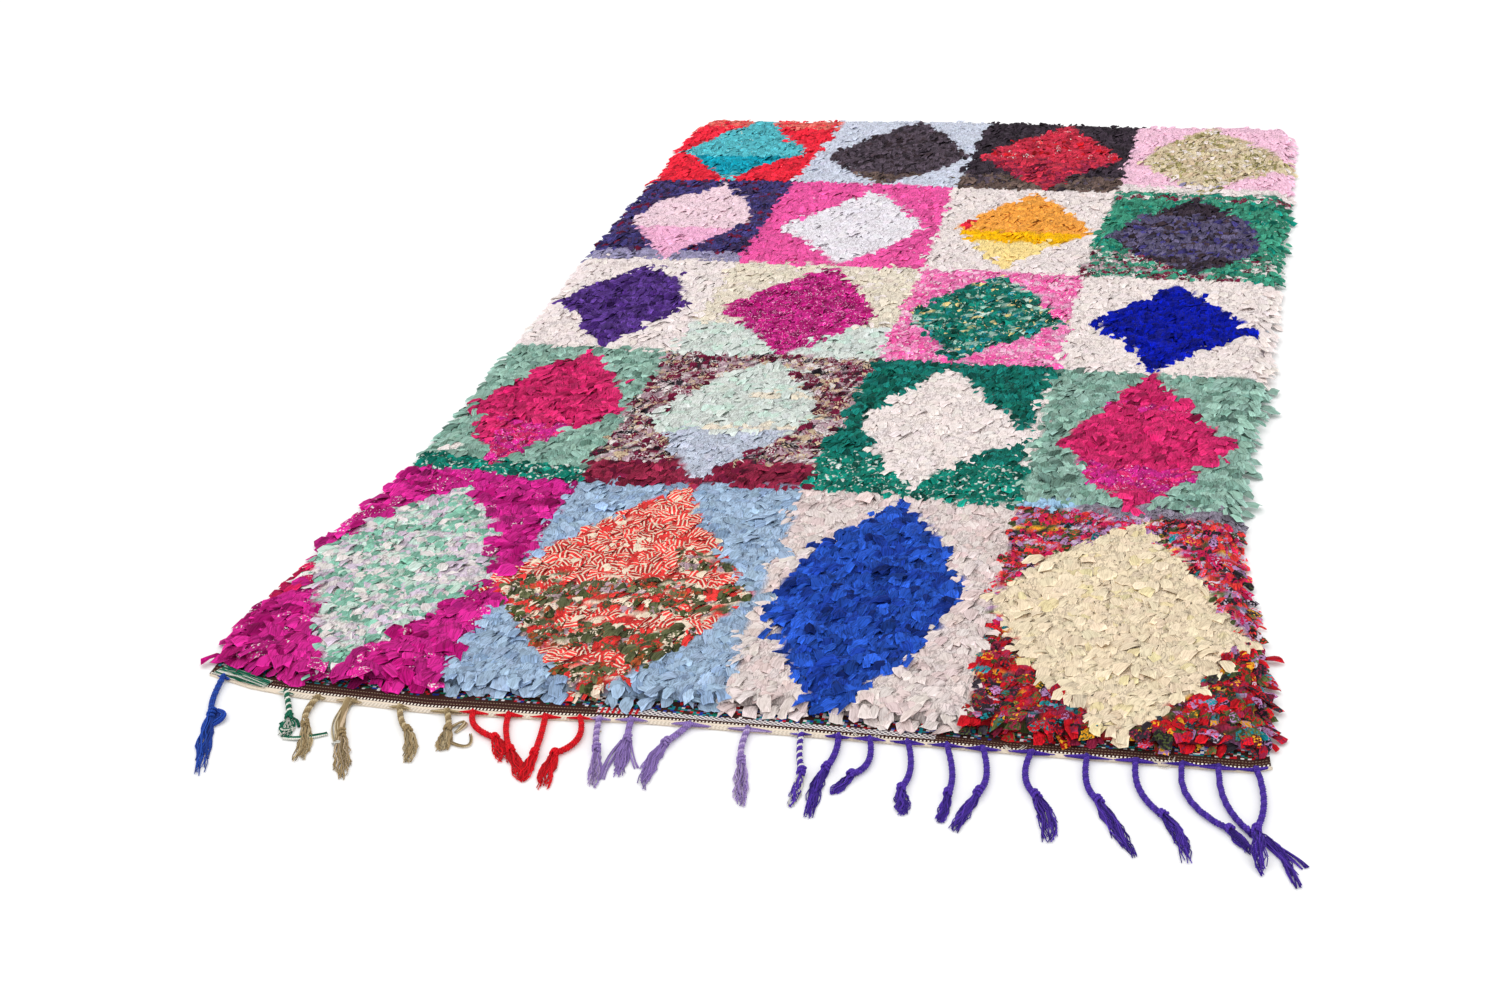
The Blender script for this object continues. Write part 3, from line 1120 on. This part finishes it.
def edge_point(across, out):
    """Floor points from mm across and mm in front of the field's front edge."""
    return joined(MM * across, FRONT_Y - MM * out, 0.0)


def parabola(start, middle, end, t):
    """Points at t on the parabola through three points at t of 0, 1/2 and 1, and its level
    normals."""
    sway = 2 * (start - 2 * middle + end)
    launch = end - start - sway
    t = np.asarray(t)[..., None]
    heading = launch + 2 * sway * t
    heading = heading / np.linalg.norm(heading, axis=-1, keepdims=True)
    return start + launch * t + sway * t * t, level_normal(heading)


def ply_cord(line, normal, reach, turn_length, plies, phase):
    """Lines of the plies of a cord: each goes round the cord's line at its reach, by one turn
    for each turn_length."""
    length = np.linalg.norm(np.diff(line, axis=0, prepend=line[:1]), axis=-1).cumsum()
    turn = TAU * length / turn_length + phase + TAU * np.arange(plies)[:, None] / plies
    swing, climb = reach * np.cos(turn), reach * np.sin(turn)
    return line + swing[..., None] * normal + climb[..., None] * np.array([0.0, 0.0, 1.0])


def tassel(yarns, row, rng):
    """A tassel: a plied cord on a parabola, a knot of turns round it, a tuft of yarns that fan
    along a second parabola, and the root's yarn lying both ways along the band's edge."""
    dyes = row.plies.split()
    edge = rim(BAND_END, MM * row.root_across) / MM
    root = edge_point(row.root_across, edge - 3)
    knot = edge_point(row.knot_across, row.knot_out)
    t = np.linspace(0, 1, CORD_POINTS)
    line, normal = parabola(root, edge_point(row.mid_across, row.mid_out), knot, t)
    half = CORD_WIDTH / 2
    line[:, 2] = half + CORD_LIFT * (1 - t) ** 3
    cord = ply_cord(line, normal, PLY_REACH * half, MM * row.turn, max(3, len(dyes)), rng.uniform(0, TAU))
    yarns.add(cord, half * PLY_SHARE, dyes)
    middle, tip = edge_point(row.tuft_across, row.tuft_out), edge_point(row.tip_across, row.tip_out)
    around, side = parabola(knot, middle, tip, np.linspace(*KNOT_RUN, KNOT_POINTS))
    turn = np.linspace(0, KNOT_TURNS * TAU, KNOT_POINTS)
    wrap = around + side * (KNOT_SIZE[0] * np.cos(turn))[:, None]
    wrap[:, 2] = KNOT_HEIGHT + KNOT_SIZE[1] * np.sin(turn)
    yarns.add(wrap[None], KNOT_YARN, dyes)

    def draws(low, high, count=TUFT_YARNS):
        """A random number for each yarn, as a column."""
        return rng.uniform(low, high, (count, 1))

    slot = draws(-0.5, 0.5)
    reach = TUFT_REACH[0] + TUFT_REACH[1] * draws(0, 1) ** 0.8
    t = np.linspace(0, 1, TUFT_POINTS)
    line, normal = parabola(knot, middle, tip, reach * t)
    broad = np.sin(np.pi * np.minimum(reach * t * 0.94, 1)) ** 0.8
    spread = MM * row.fan * (TUFT_SPREAD[0] + TUFT_SPREAD[1] * broad)
    wave = TUFT_WAVE * (0.5 + 1.5 * t) * np.sin(TAU * t * draws(1, 2.6) + draws(0, TAU))
    strand = line + normal * (slot * spread + wave)[..., None]
    pile_up = np.sqrt(np.clip(1 - (2 * slot) ** 2, 0, 1)) * draws(0, 1)
    hump = MM * row.lift * np.sin(np.pi * np.minimum(reach * t, 1)) ** 2
    strand[..., 2] = 1.15 * YARN_RADIUS + pile_up * (TUFT_HEIGHTS[0] - TUFT_HEIGHTS[1] * t) + hump
    yarns.add(strand, YARN_RADIUS * (1.1 - 0.35 * t), dyes)
    t = np.linspace(0, 1, 9)
    for way in (-1, 1):
        across = row.root_across + way * row.spread * t * draws(0.65, 1.0, ROOT_YARNS)
        across = np.clip(across, BAND_END[0].across + 4, BAND_END[-1].across - 6)
        offset = draws(-5.0, 0.6, ROOT_YARNS) * (1 - 0.3 * t)
        lying = edge_point(across, rim(BAND_END, MM * across) / MM + offset)
        lying[..., 2] = ROOT_HEIGHT + draws(-0.0010, 0.0024, ROOT_YARNS) * (1 - t)
        yarns.add(lying, ROOT_YARN * (1 - 0.72 * t), dyes)


def loose_yarn(yarns, row, rng):
    """A bundle of yarns on one parabola: each keeps its own share of the bundle's width, waves
    a little, and lies higher the nearer it is to the bundle's middle."""
    start, middle, end = (edge_point(row[k], row[k + 1]) for k in (1, 3, 5))
    t = np.linspace(0, 1, 12)

    def draws(low, high):
        """A random number for each yarn, as a column."""
        return rng.uniform(low, high, (row.yarns, 1))

    line, normal = parabola(start, middle, end, np.tile(t, (row.yarns, 1)))
    share = draws(-0.5, 0.5)
    wave = 0.08 * np.sin(TAU * t * draws(0.6, 1.6) + draws(0, TAU))
    line = line + normal * (MM * (share + wave) * (row.wide + (row.narrow - row.wide) * t))[..., None]
    on_band = line[..., 1] > FRONT_Y - rim(BAND_END, line[..., 0])
    arch = row.height * np.sin(np.pi * t) * (1 - 4 * share ** 2) * draws(0.4, 1)
    line[..., 2] = on_band * BAND_HEIGHT + MM * (row.radius + arch)
    yarns.add(line, MM * row.radius * (1 - 0.3 * t), row.dyes.split())


def fringes(material, rng):
    """A piece for each yarn of the fringe, with all its tassels and loose yarns."""
    pieces = []
    for yarn in FRINGE_YARNS:
        yarns = Yarns(5)
        for make, rows in ((tassel, TASSELS), (loose_yarn, LOOSE)):
            for row in rows:
                if row.yarn == yarn:
                    make(yarns, row, rng)
        pieces.append(yarns.make(yarn + "_tassels", material, yarn + "_yarn", ["fringe_" + yarn]))
    return pieces


def twined_edge(material, rng):
    """The band's cream edge: cords side by side that share the edge's width, half as high as
    they are wide."""
    x = np.linspace(MM * BAND_END[0].across, MM * BAND_END[-1].across, EDGE_POINTS)
    outer, inner = band_point(x, 0.0), band_point(x, 1.0)
    radius = (inner - outer) / EDGE_CORDS / 2
    yarns = Yarns(6)
    for number in range(EDGE_CORDS):
        share = (number + 0.5) / EDGE_CORDS
        wander = EDGE_WANDER[0] * ripple(x, 0 * x, EDGE_WANDER[1], rng)
        line = joined(x, outer + share * (inner - outer) + wander, EDGE_HEIGHT + radius)
        yarns.add(line[None], radius * EDGE_SWELL, ["edge_cream"], EDGE_FLATNESS)
    return yarns.make("twined_edge", material, "rag_pile", ["rug"])


# Materials

class Net:
    """A shader tree with short calls. An input takes a number, a colour or an output."""

    def __init__(self, tree):
        self.tree = tree

    def feed(self, socket, value):
        """Link an output to a socket, or set the socket to a value."""
        if isinstance(value, bpy.types.NodeSocket):
            self.tree.links.new(value, socket)
        else:
            socket.default_value = value

    def put(self, kind, inputs=(), **settings):
        """A node of one kind, with its settings and its inputs by name or number."""
        node = self.tree.nodes.new("ShaderNode" + kind)
        for name, value in settings.items():
            setattr(node, name, value)
        for name, value in dict(inputs).items():
            self.feed(node.inputs[name], value)
        return node

    def math(self, operation, *values):
        """The result of a math node."""
        return self.put("Math", enumerate(values), operation=operation).outputs[0]

    def mix(self, factor, first, second, blend="MIX"):
        """The colour that lies a factor of the way from one to another."""
        node = self.put("Mix", data_type="RGBA", blend_type=blend)
        for number, value in ((0, factor), (6, first), (7, second)):
            self.feed(node.inputs[number], value)
        return node.outputs[2]

    def layer(self, name, output="Color"):
        """A named layer of the mesh."""
        return self.put("Attribute", attribute_name=name).outputs[output]

    def split(self, vector):
        """The three parts of a vector."""
        return self.put("SeparateXYZ", {0: vector}).outputs

    def clamp(self, value):
        """A value held between 0 and 1."""
        return self.put("Clamp", {0: value}).outputs[0]

    def wave(self, value, turns):
        """A sine of so many turns for each unit of a value."""
        return self.math("SINE", self.math("MULTIPLY", value, TAU * turns))

    def noise(self, place, detail, roughness=0.5, scale=1.0):
        """Smooth noise at places."""
        inputs = {"Vector": place, "Scale": scale, "Detail": detail, "Roughness": roughness}
        return self.put("TexNoise", inputs).outputs[0]

    def folds(self, place, roughness=0.5, scale=1.0):
        """Distance of smooth noise from its middle: 0 along winding lines."""
        return self.math("ABSOLUTE", self.math("SUBTRACT", self.noise(place, 2.0, roughness, scale), 0.5))

    def drawn_folds(self, place, stretch):
        """The same on a layer's coordinates, times a stretch for each."""
        return self.folds(self.put("VectorMath", {0: place, 1: stretch}, operation="MULTIPLY").outputs[0])


def new_group(name, inputs, output):
    """A node group with named inputs and one number out: its net, its inputs and its output."""
    tree = bpy.data.node_groups.new(name, "ShaderNodeTree")
    for label in inputs:
        kind = "NodeSocketVector" if label == "Strip" else "NodeSocketFloat"
        tree.interface.new_socket(label, in_out="INPUT", socket_type=kind)
    tree.interface.new_socket(output, in_out="OUTPUT", socket_type="NodeSocketFloat")
    return Net(tree), tree.nodes.new("NodeGroupInput").outputs, tree.nodes.new("NodeGroupOutput").inputs[output]


def rag_print_group():
    """Group: the share of printed colour on a strip. It is a threshold on noise of the given
    grain, or on sine stripes at an angle of the strip's own."""
    net, given, mask = new_group("rag_print", ("Strip", "Cover", "Striped", "Grain"), "Mask")
    across, along, seed = net.split(given["Strip"])
    place = net.put("CombineXYZ", {0: across, 1: along, 2: net.math("MULTIPLY", seed, 37.0)}).outputs[0]
    scale = net.math("DIVIDE", 1000.0, given["Grain"])
    spots = net.noise(net.put("VectorMath", {0: place, "Scale": scale}, operation="SCALE").outputs[0], 1.5)
    turn = net.math("MULTIPLY", seed, TAU)
    swing = net.math("MULTIPLY", across, net.math("COSINE", turn))
    swing = net.math("MULTIPLY_ADD", along, net.math("SINE", turn), swing)
    stripes = net.math("MULTIPLY_ADD", net.wave(net.math("MULTIPLY", swing, scale), 1.0), 0.3, 0.5)
    plain = net.math("MULTIPLY", spots, net.math("SUBTRACT", 1.0, given["Striped"]))
    field = net.math("MULTIPLY_ADD", stripes, given["Striped"], plain)
    level = net.math("MULTIPLY_ADD", given["Cover"], 0.55, 0.22)
    softened = net.clamp(net.math("MULTIPLY_ADD", net.math("SUBTRACT", level, field), 14.0, 0.5))
    net.feed(mask, net.math("MULTIPLY", softened, net.math("GREATER_THAN", given["Cover"], 0.001)))
    return net.tree


def crumple_group():
    """Group: a height for creased cloth, of soft noise at the creases' size plus fine thread
    noise, both on the object's coordinates."""
    net, given, height = new_group("crumple", ("Creases", "Threads"), "Height")
    place = net.put("TexCoord").outputs["Object"]
    creases = net.folds(place, 0.55, net.math("DIVIDE", 1.0, given["Creases"]))
    threads = net.noise(place, 1.0, 0.6, net.math("DIVIDE", 1.0, given["Threads"]))
    net.feed(height, net.math("MULTIPLY_ADD", creases, -2.0, net.math("MULTIPLY", threads, 0.22)))
    return net.tree


def paint(dye):
    """A dye as a shader's colour."""
    return (*linear(DYES[dye]), 1.0)


def cloth_material(name, roughness, sheen, crumple, creases, threads):
    """A cloth material: its net, its Principled shader and the height of its crumples, whose
    creases and threads have the given sizes in metres."""
    material = bpy.data.materials.new(name)
    material.use_nodes = True
    net = Net(material.node_tree)
    shader = net.tree.nodes["Principled BSDF"]
    values = {"Roughness": roughness, "Sheen Weight": sheen, "Sheen Roughness": 0.45}
    values["Specular IOR Level"] = 0.08
    for label, value in values.items():
        shader.inputs[label].default_value = value
    fine = net.put("Group", node_tree=crumple)
    net.feed(fine.inputs["Creases"], creases)
    net.feed(fine.inputs["Threads"], threads)
    return material, net, shader, fine.outputs["Height"]


def finish_cloth(net, shader, colour, height, distance, strength):
    """Feed the shader's colour, and its normal through a bump of that distance in metres."""
    bump = net.put("Bump", {"Strength": strength, "Distance": distance, "Height": height})
    net.feed(shader.inputs["Base Color"], colour)
    net.feed(shader.inputs["Normal"], bump.outputs[0])


def rag_cloth(print_group, crumple):
    """Knotted rag: the strip's dye, its print over it, creases that are deeper in a dark cloth,
    and paler cut edges, which the print's alpha marks."""
    material, net, shader, fine = cloth_material("rag_cloth", 0.92, 0.0, crumple, 0.008, 0.0012)
    strip = net.layer("rag_strip", "Vector")
    cover, striped, grain = net.split(net.layer("rag_kind", "Vector"))
    kind = net.put("Group", node_tree=print_group)
    for label, value in (("Strip", strip), ("Cover", cover), ("Striped", striped), ("Grain", grain)):
        net.feed(kind.inputs[label], value)
    colour = net.mix(kind.outputs["Mask"], net.layer("rag_dye"), net.layer("rag_print"))
    apart = net.drawn_folds(strip, (210.0, 22.0, 37.0))
    crease = net.clamp(net.math("MULTIPLY_ADD", apart, -16.0, 1.0))
    strength = net.math("MULTIPLY_ADD", net.put("RGBToBW", {0: colour}).outputs[0], -0.75, 0.95)
    edging = {"Value": net.layer("rag_print", "Alpha"), "From Min": 0.80, "From Max": 1.0}
    edge = net.put("MapRange", edging).outputs[0]
    pale = net.mix(1.0, colour, (1.55, 1.55, 1.6, 1.0), "MULTIPLY")
    frayed = net.mix(net.math("MULTIPLY", edge, strength), colour, pale)
    dark = net.mix(1.0, frayed, (0.45, 0.40, 0.38, 1.0), "MULTIPLY")
    colour = net.mix(net.math("MULTIPLY", crease, strength), frayed, dark)
    finish_cloth(net, shader, colour, net.math("MULTIPLY_ADD", apart, 3.0, fine), 0.0018, 0.8)
    return material


# The bright line at the pile's foot: dyes, and where each starts in a random number from 0 to 1
FOOT_DYES = {
    0: "cocoa", .26: "teal", .36: "deep_royal", .44: "cocoa", .58: "scarlet", .66: "chalk", .76: "leaf",
    .84: "cocoa", .94: "slate_blue",
}


def woven_cloth(crumple):
    """Foundation: the knots' dyes on the bed, and on the end band a brown stripe with two
    lighter lines and cream dots, a grey mottled length with red checks in it, and a line of
    many colours, by the stripe coordinate."""
    material, net, shader, fine = cloth_material("woven_foundation", 0.94, 0.02, crumple, 0.007, 0.0014)
    place = net.layer("band_place", "Vector")
    x, _, stripe = net.split(place)

    def stitches(turns, level):
        """1 where a sine along the band passes a level."""
        return net.math("GREATER_THAN", net.wave(x, turns), level)

    def within(coordinate, middle, half):
        """1 within half a width of a middle."""
        return net.math("COMPARE", coordinate, middle, half)

    def past(line):
        """1 on the pile's side of a line of the band."""
        return net.math("GREATER_THAN", stripe, line)

    places = (net.math("FLOOR", net.math("MULTIPLY", *pair)) for pair in ((x, 210.0), (stripe, 7.0)))
    cell = net.put("CombineXYZ", enumerate(places)).outputs[0]
    draw = net.put("TexWhiteNoise", {"Vector": cell}, noise_dimensions="2D").outputs["Value"]
    ramp = net.put("ValToRGB", {0: draw})
    ramp.color_ramp.interpolation = "CONSTANT"
    while len(ramp.color_ramp.elements) < len(FOOT_DYES):
        ramp.color_ramp.elements.new(0.5)
    for element, (position, dye) in zip(ramp.color_ramp.elements, FOOT_DYES.items()):
        element.position, element.color = position, paint(dye)
    lines = net.math("MAXIMUM", within(stripe, 1.42, 0.035), within(stripe, 1.74, 0.03))
    lines = net.math("MULTIPLY", net.math("MULTIPLY", stitches(230, -0.2), lines), 0.40)
    brown = net.mix(lines, paint("cocoa"), paint("beige"))
    dots = net.math("MULTIPLY", within(stripe, 1.12, 0.09), stitches(190, 0.1))
    brown = net.mix(dots, brown, paint("edge_pale"))
    mottled = net.math("GREATER_THAN", net.math("MULTIPLY", net.wave(x, 130), net.wave(stripe, 3.0)), 0.05)
    grey = net.mix(mottled, paint("chalk"), paint("charcoal"))
    checks = net.math("MULTIPLY", within(x, -0.125, 0.03), stitches(120, 0.0))
    grey = net.mix(checks, grey, paint("scarlet"))
    brown = net.mix(net.math("MULTIPLY", within(x, 0.085, 0.24), past(1.42)), brown, grey)
    band = net.mix(past(2.0), brown, ramp.outputs[0])
    band = net.mix(net.math("LESS_THAN", stripe, 1.0), band, paint("edge_cream"))
    between = net.clamp(net.math("MULTIPLY_ADD", net.drawn_folds(place, (190.0, 70.0, 1.0)), -11.0, 1.0))
    rags = net.layer("rag_dye")
    shaded = net.mix(1.0, rags, (0.35, 0.32, 0.32, 1.0), "MULTIPLY")
    rags = net.mix(net.math("MULTIPLY", between, 0.7), rags, shaded)
    finish_cloth(net, shader, net.mix(past(2.95), band, rags), fine, 0.003, 0.8)
    return material


def plied_yarn(crumple, name, turn, depth, lighter):
    """Yarn: its dye, paler on the crests of its ply and darker between its turns. The turns go
    round the yarn: a sine of the length along plus the way round."""
    material, net, shader, fine = cloth_material(name, 0.9, 0.02, crumple, 0.003, 0.0007)
    along, cosine, sine = net.split(net.layer("yarn_along", "Vector"))
    length = net.math("MULTIPLY", along, TAU / turn)
    rising = net.math("MULTIPLY", net.math("SINE", length), cosine)
    wave = net.math("MULTIPLY_ADD", net.math("COSINE", length), sine, rising)
    crest = net.math("MULTIPLY_ADD", wave, 0.5, 0.5)
    dye = net.layer("yarn_dye")
    dark = net.mix(depth, dye, (0.0, 0.0, 0.0, 1.0))
    pale = net.mix(lighter, dye, (1.0, 0.97, 0.92, 1.0))
    finish_cloth(net, shader, net.mix(crest, dark, pale), net.math("ADD", crest, fine), 0.0010, 0.7)
    return material


# Making

set_camera()
set_studio()
crumple = crumple_group()
rag_material = rag_cloth(rag_print_group(), crumple)
foundation_material = woven_cloth(crumple)
yarn_material = plied_yarn(crumple, "plied_yarn", 0.0028, 0.30, 0.02)
edge_material = plied_yarn(crumple, "twined_cream", 0.0056, 0.34, 0.30)
foundation = foundation_sheet(foundation_material, np.random.default_rng(SEED + 1))
pile = knot_pile(rag_material, np.random.default_rng(SEED))
edge = twined_edge(edge_material, np.random.default_rng(SEED + 2))
tassels = fringes(yarn_material, np.random.default_rng(SEED + 3))
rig.sheet(foundation, flat=(1.50, 2.90), held="laid", with_pieces=[*pile, edge, *tassels])

visual_box = [list(corner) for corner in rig.bounds()]
with open("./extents.json", "w") as file:
    json.dump({"cad": cad_box, "visual": visual_box}, file)
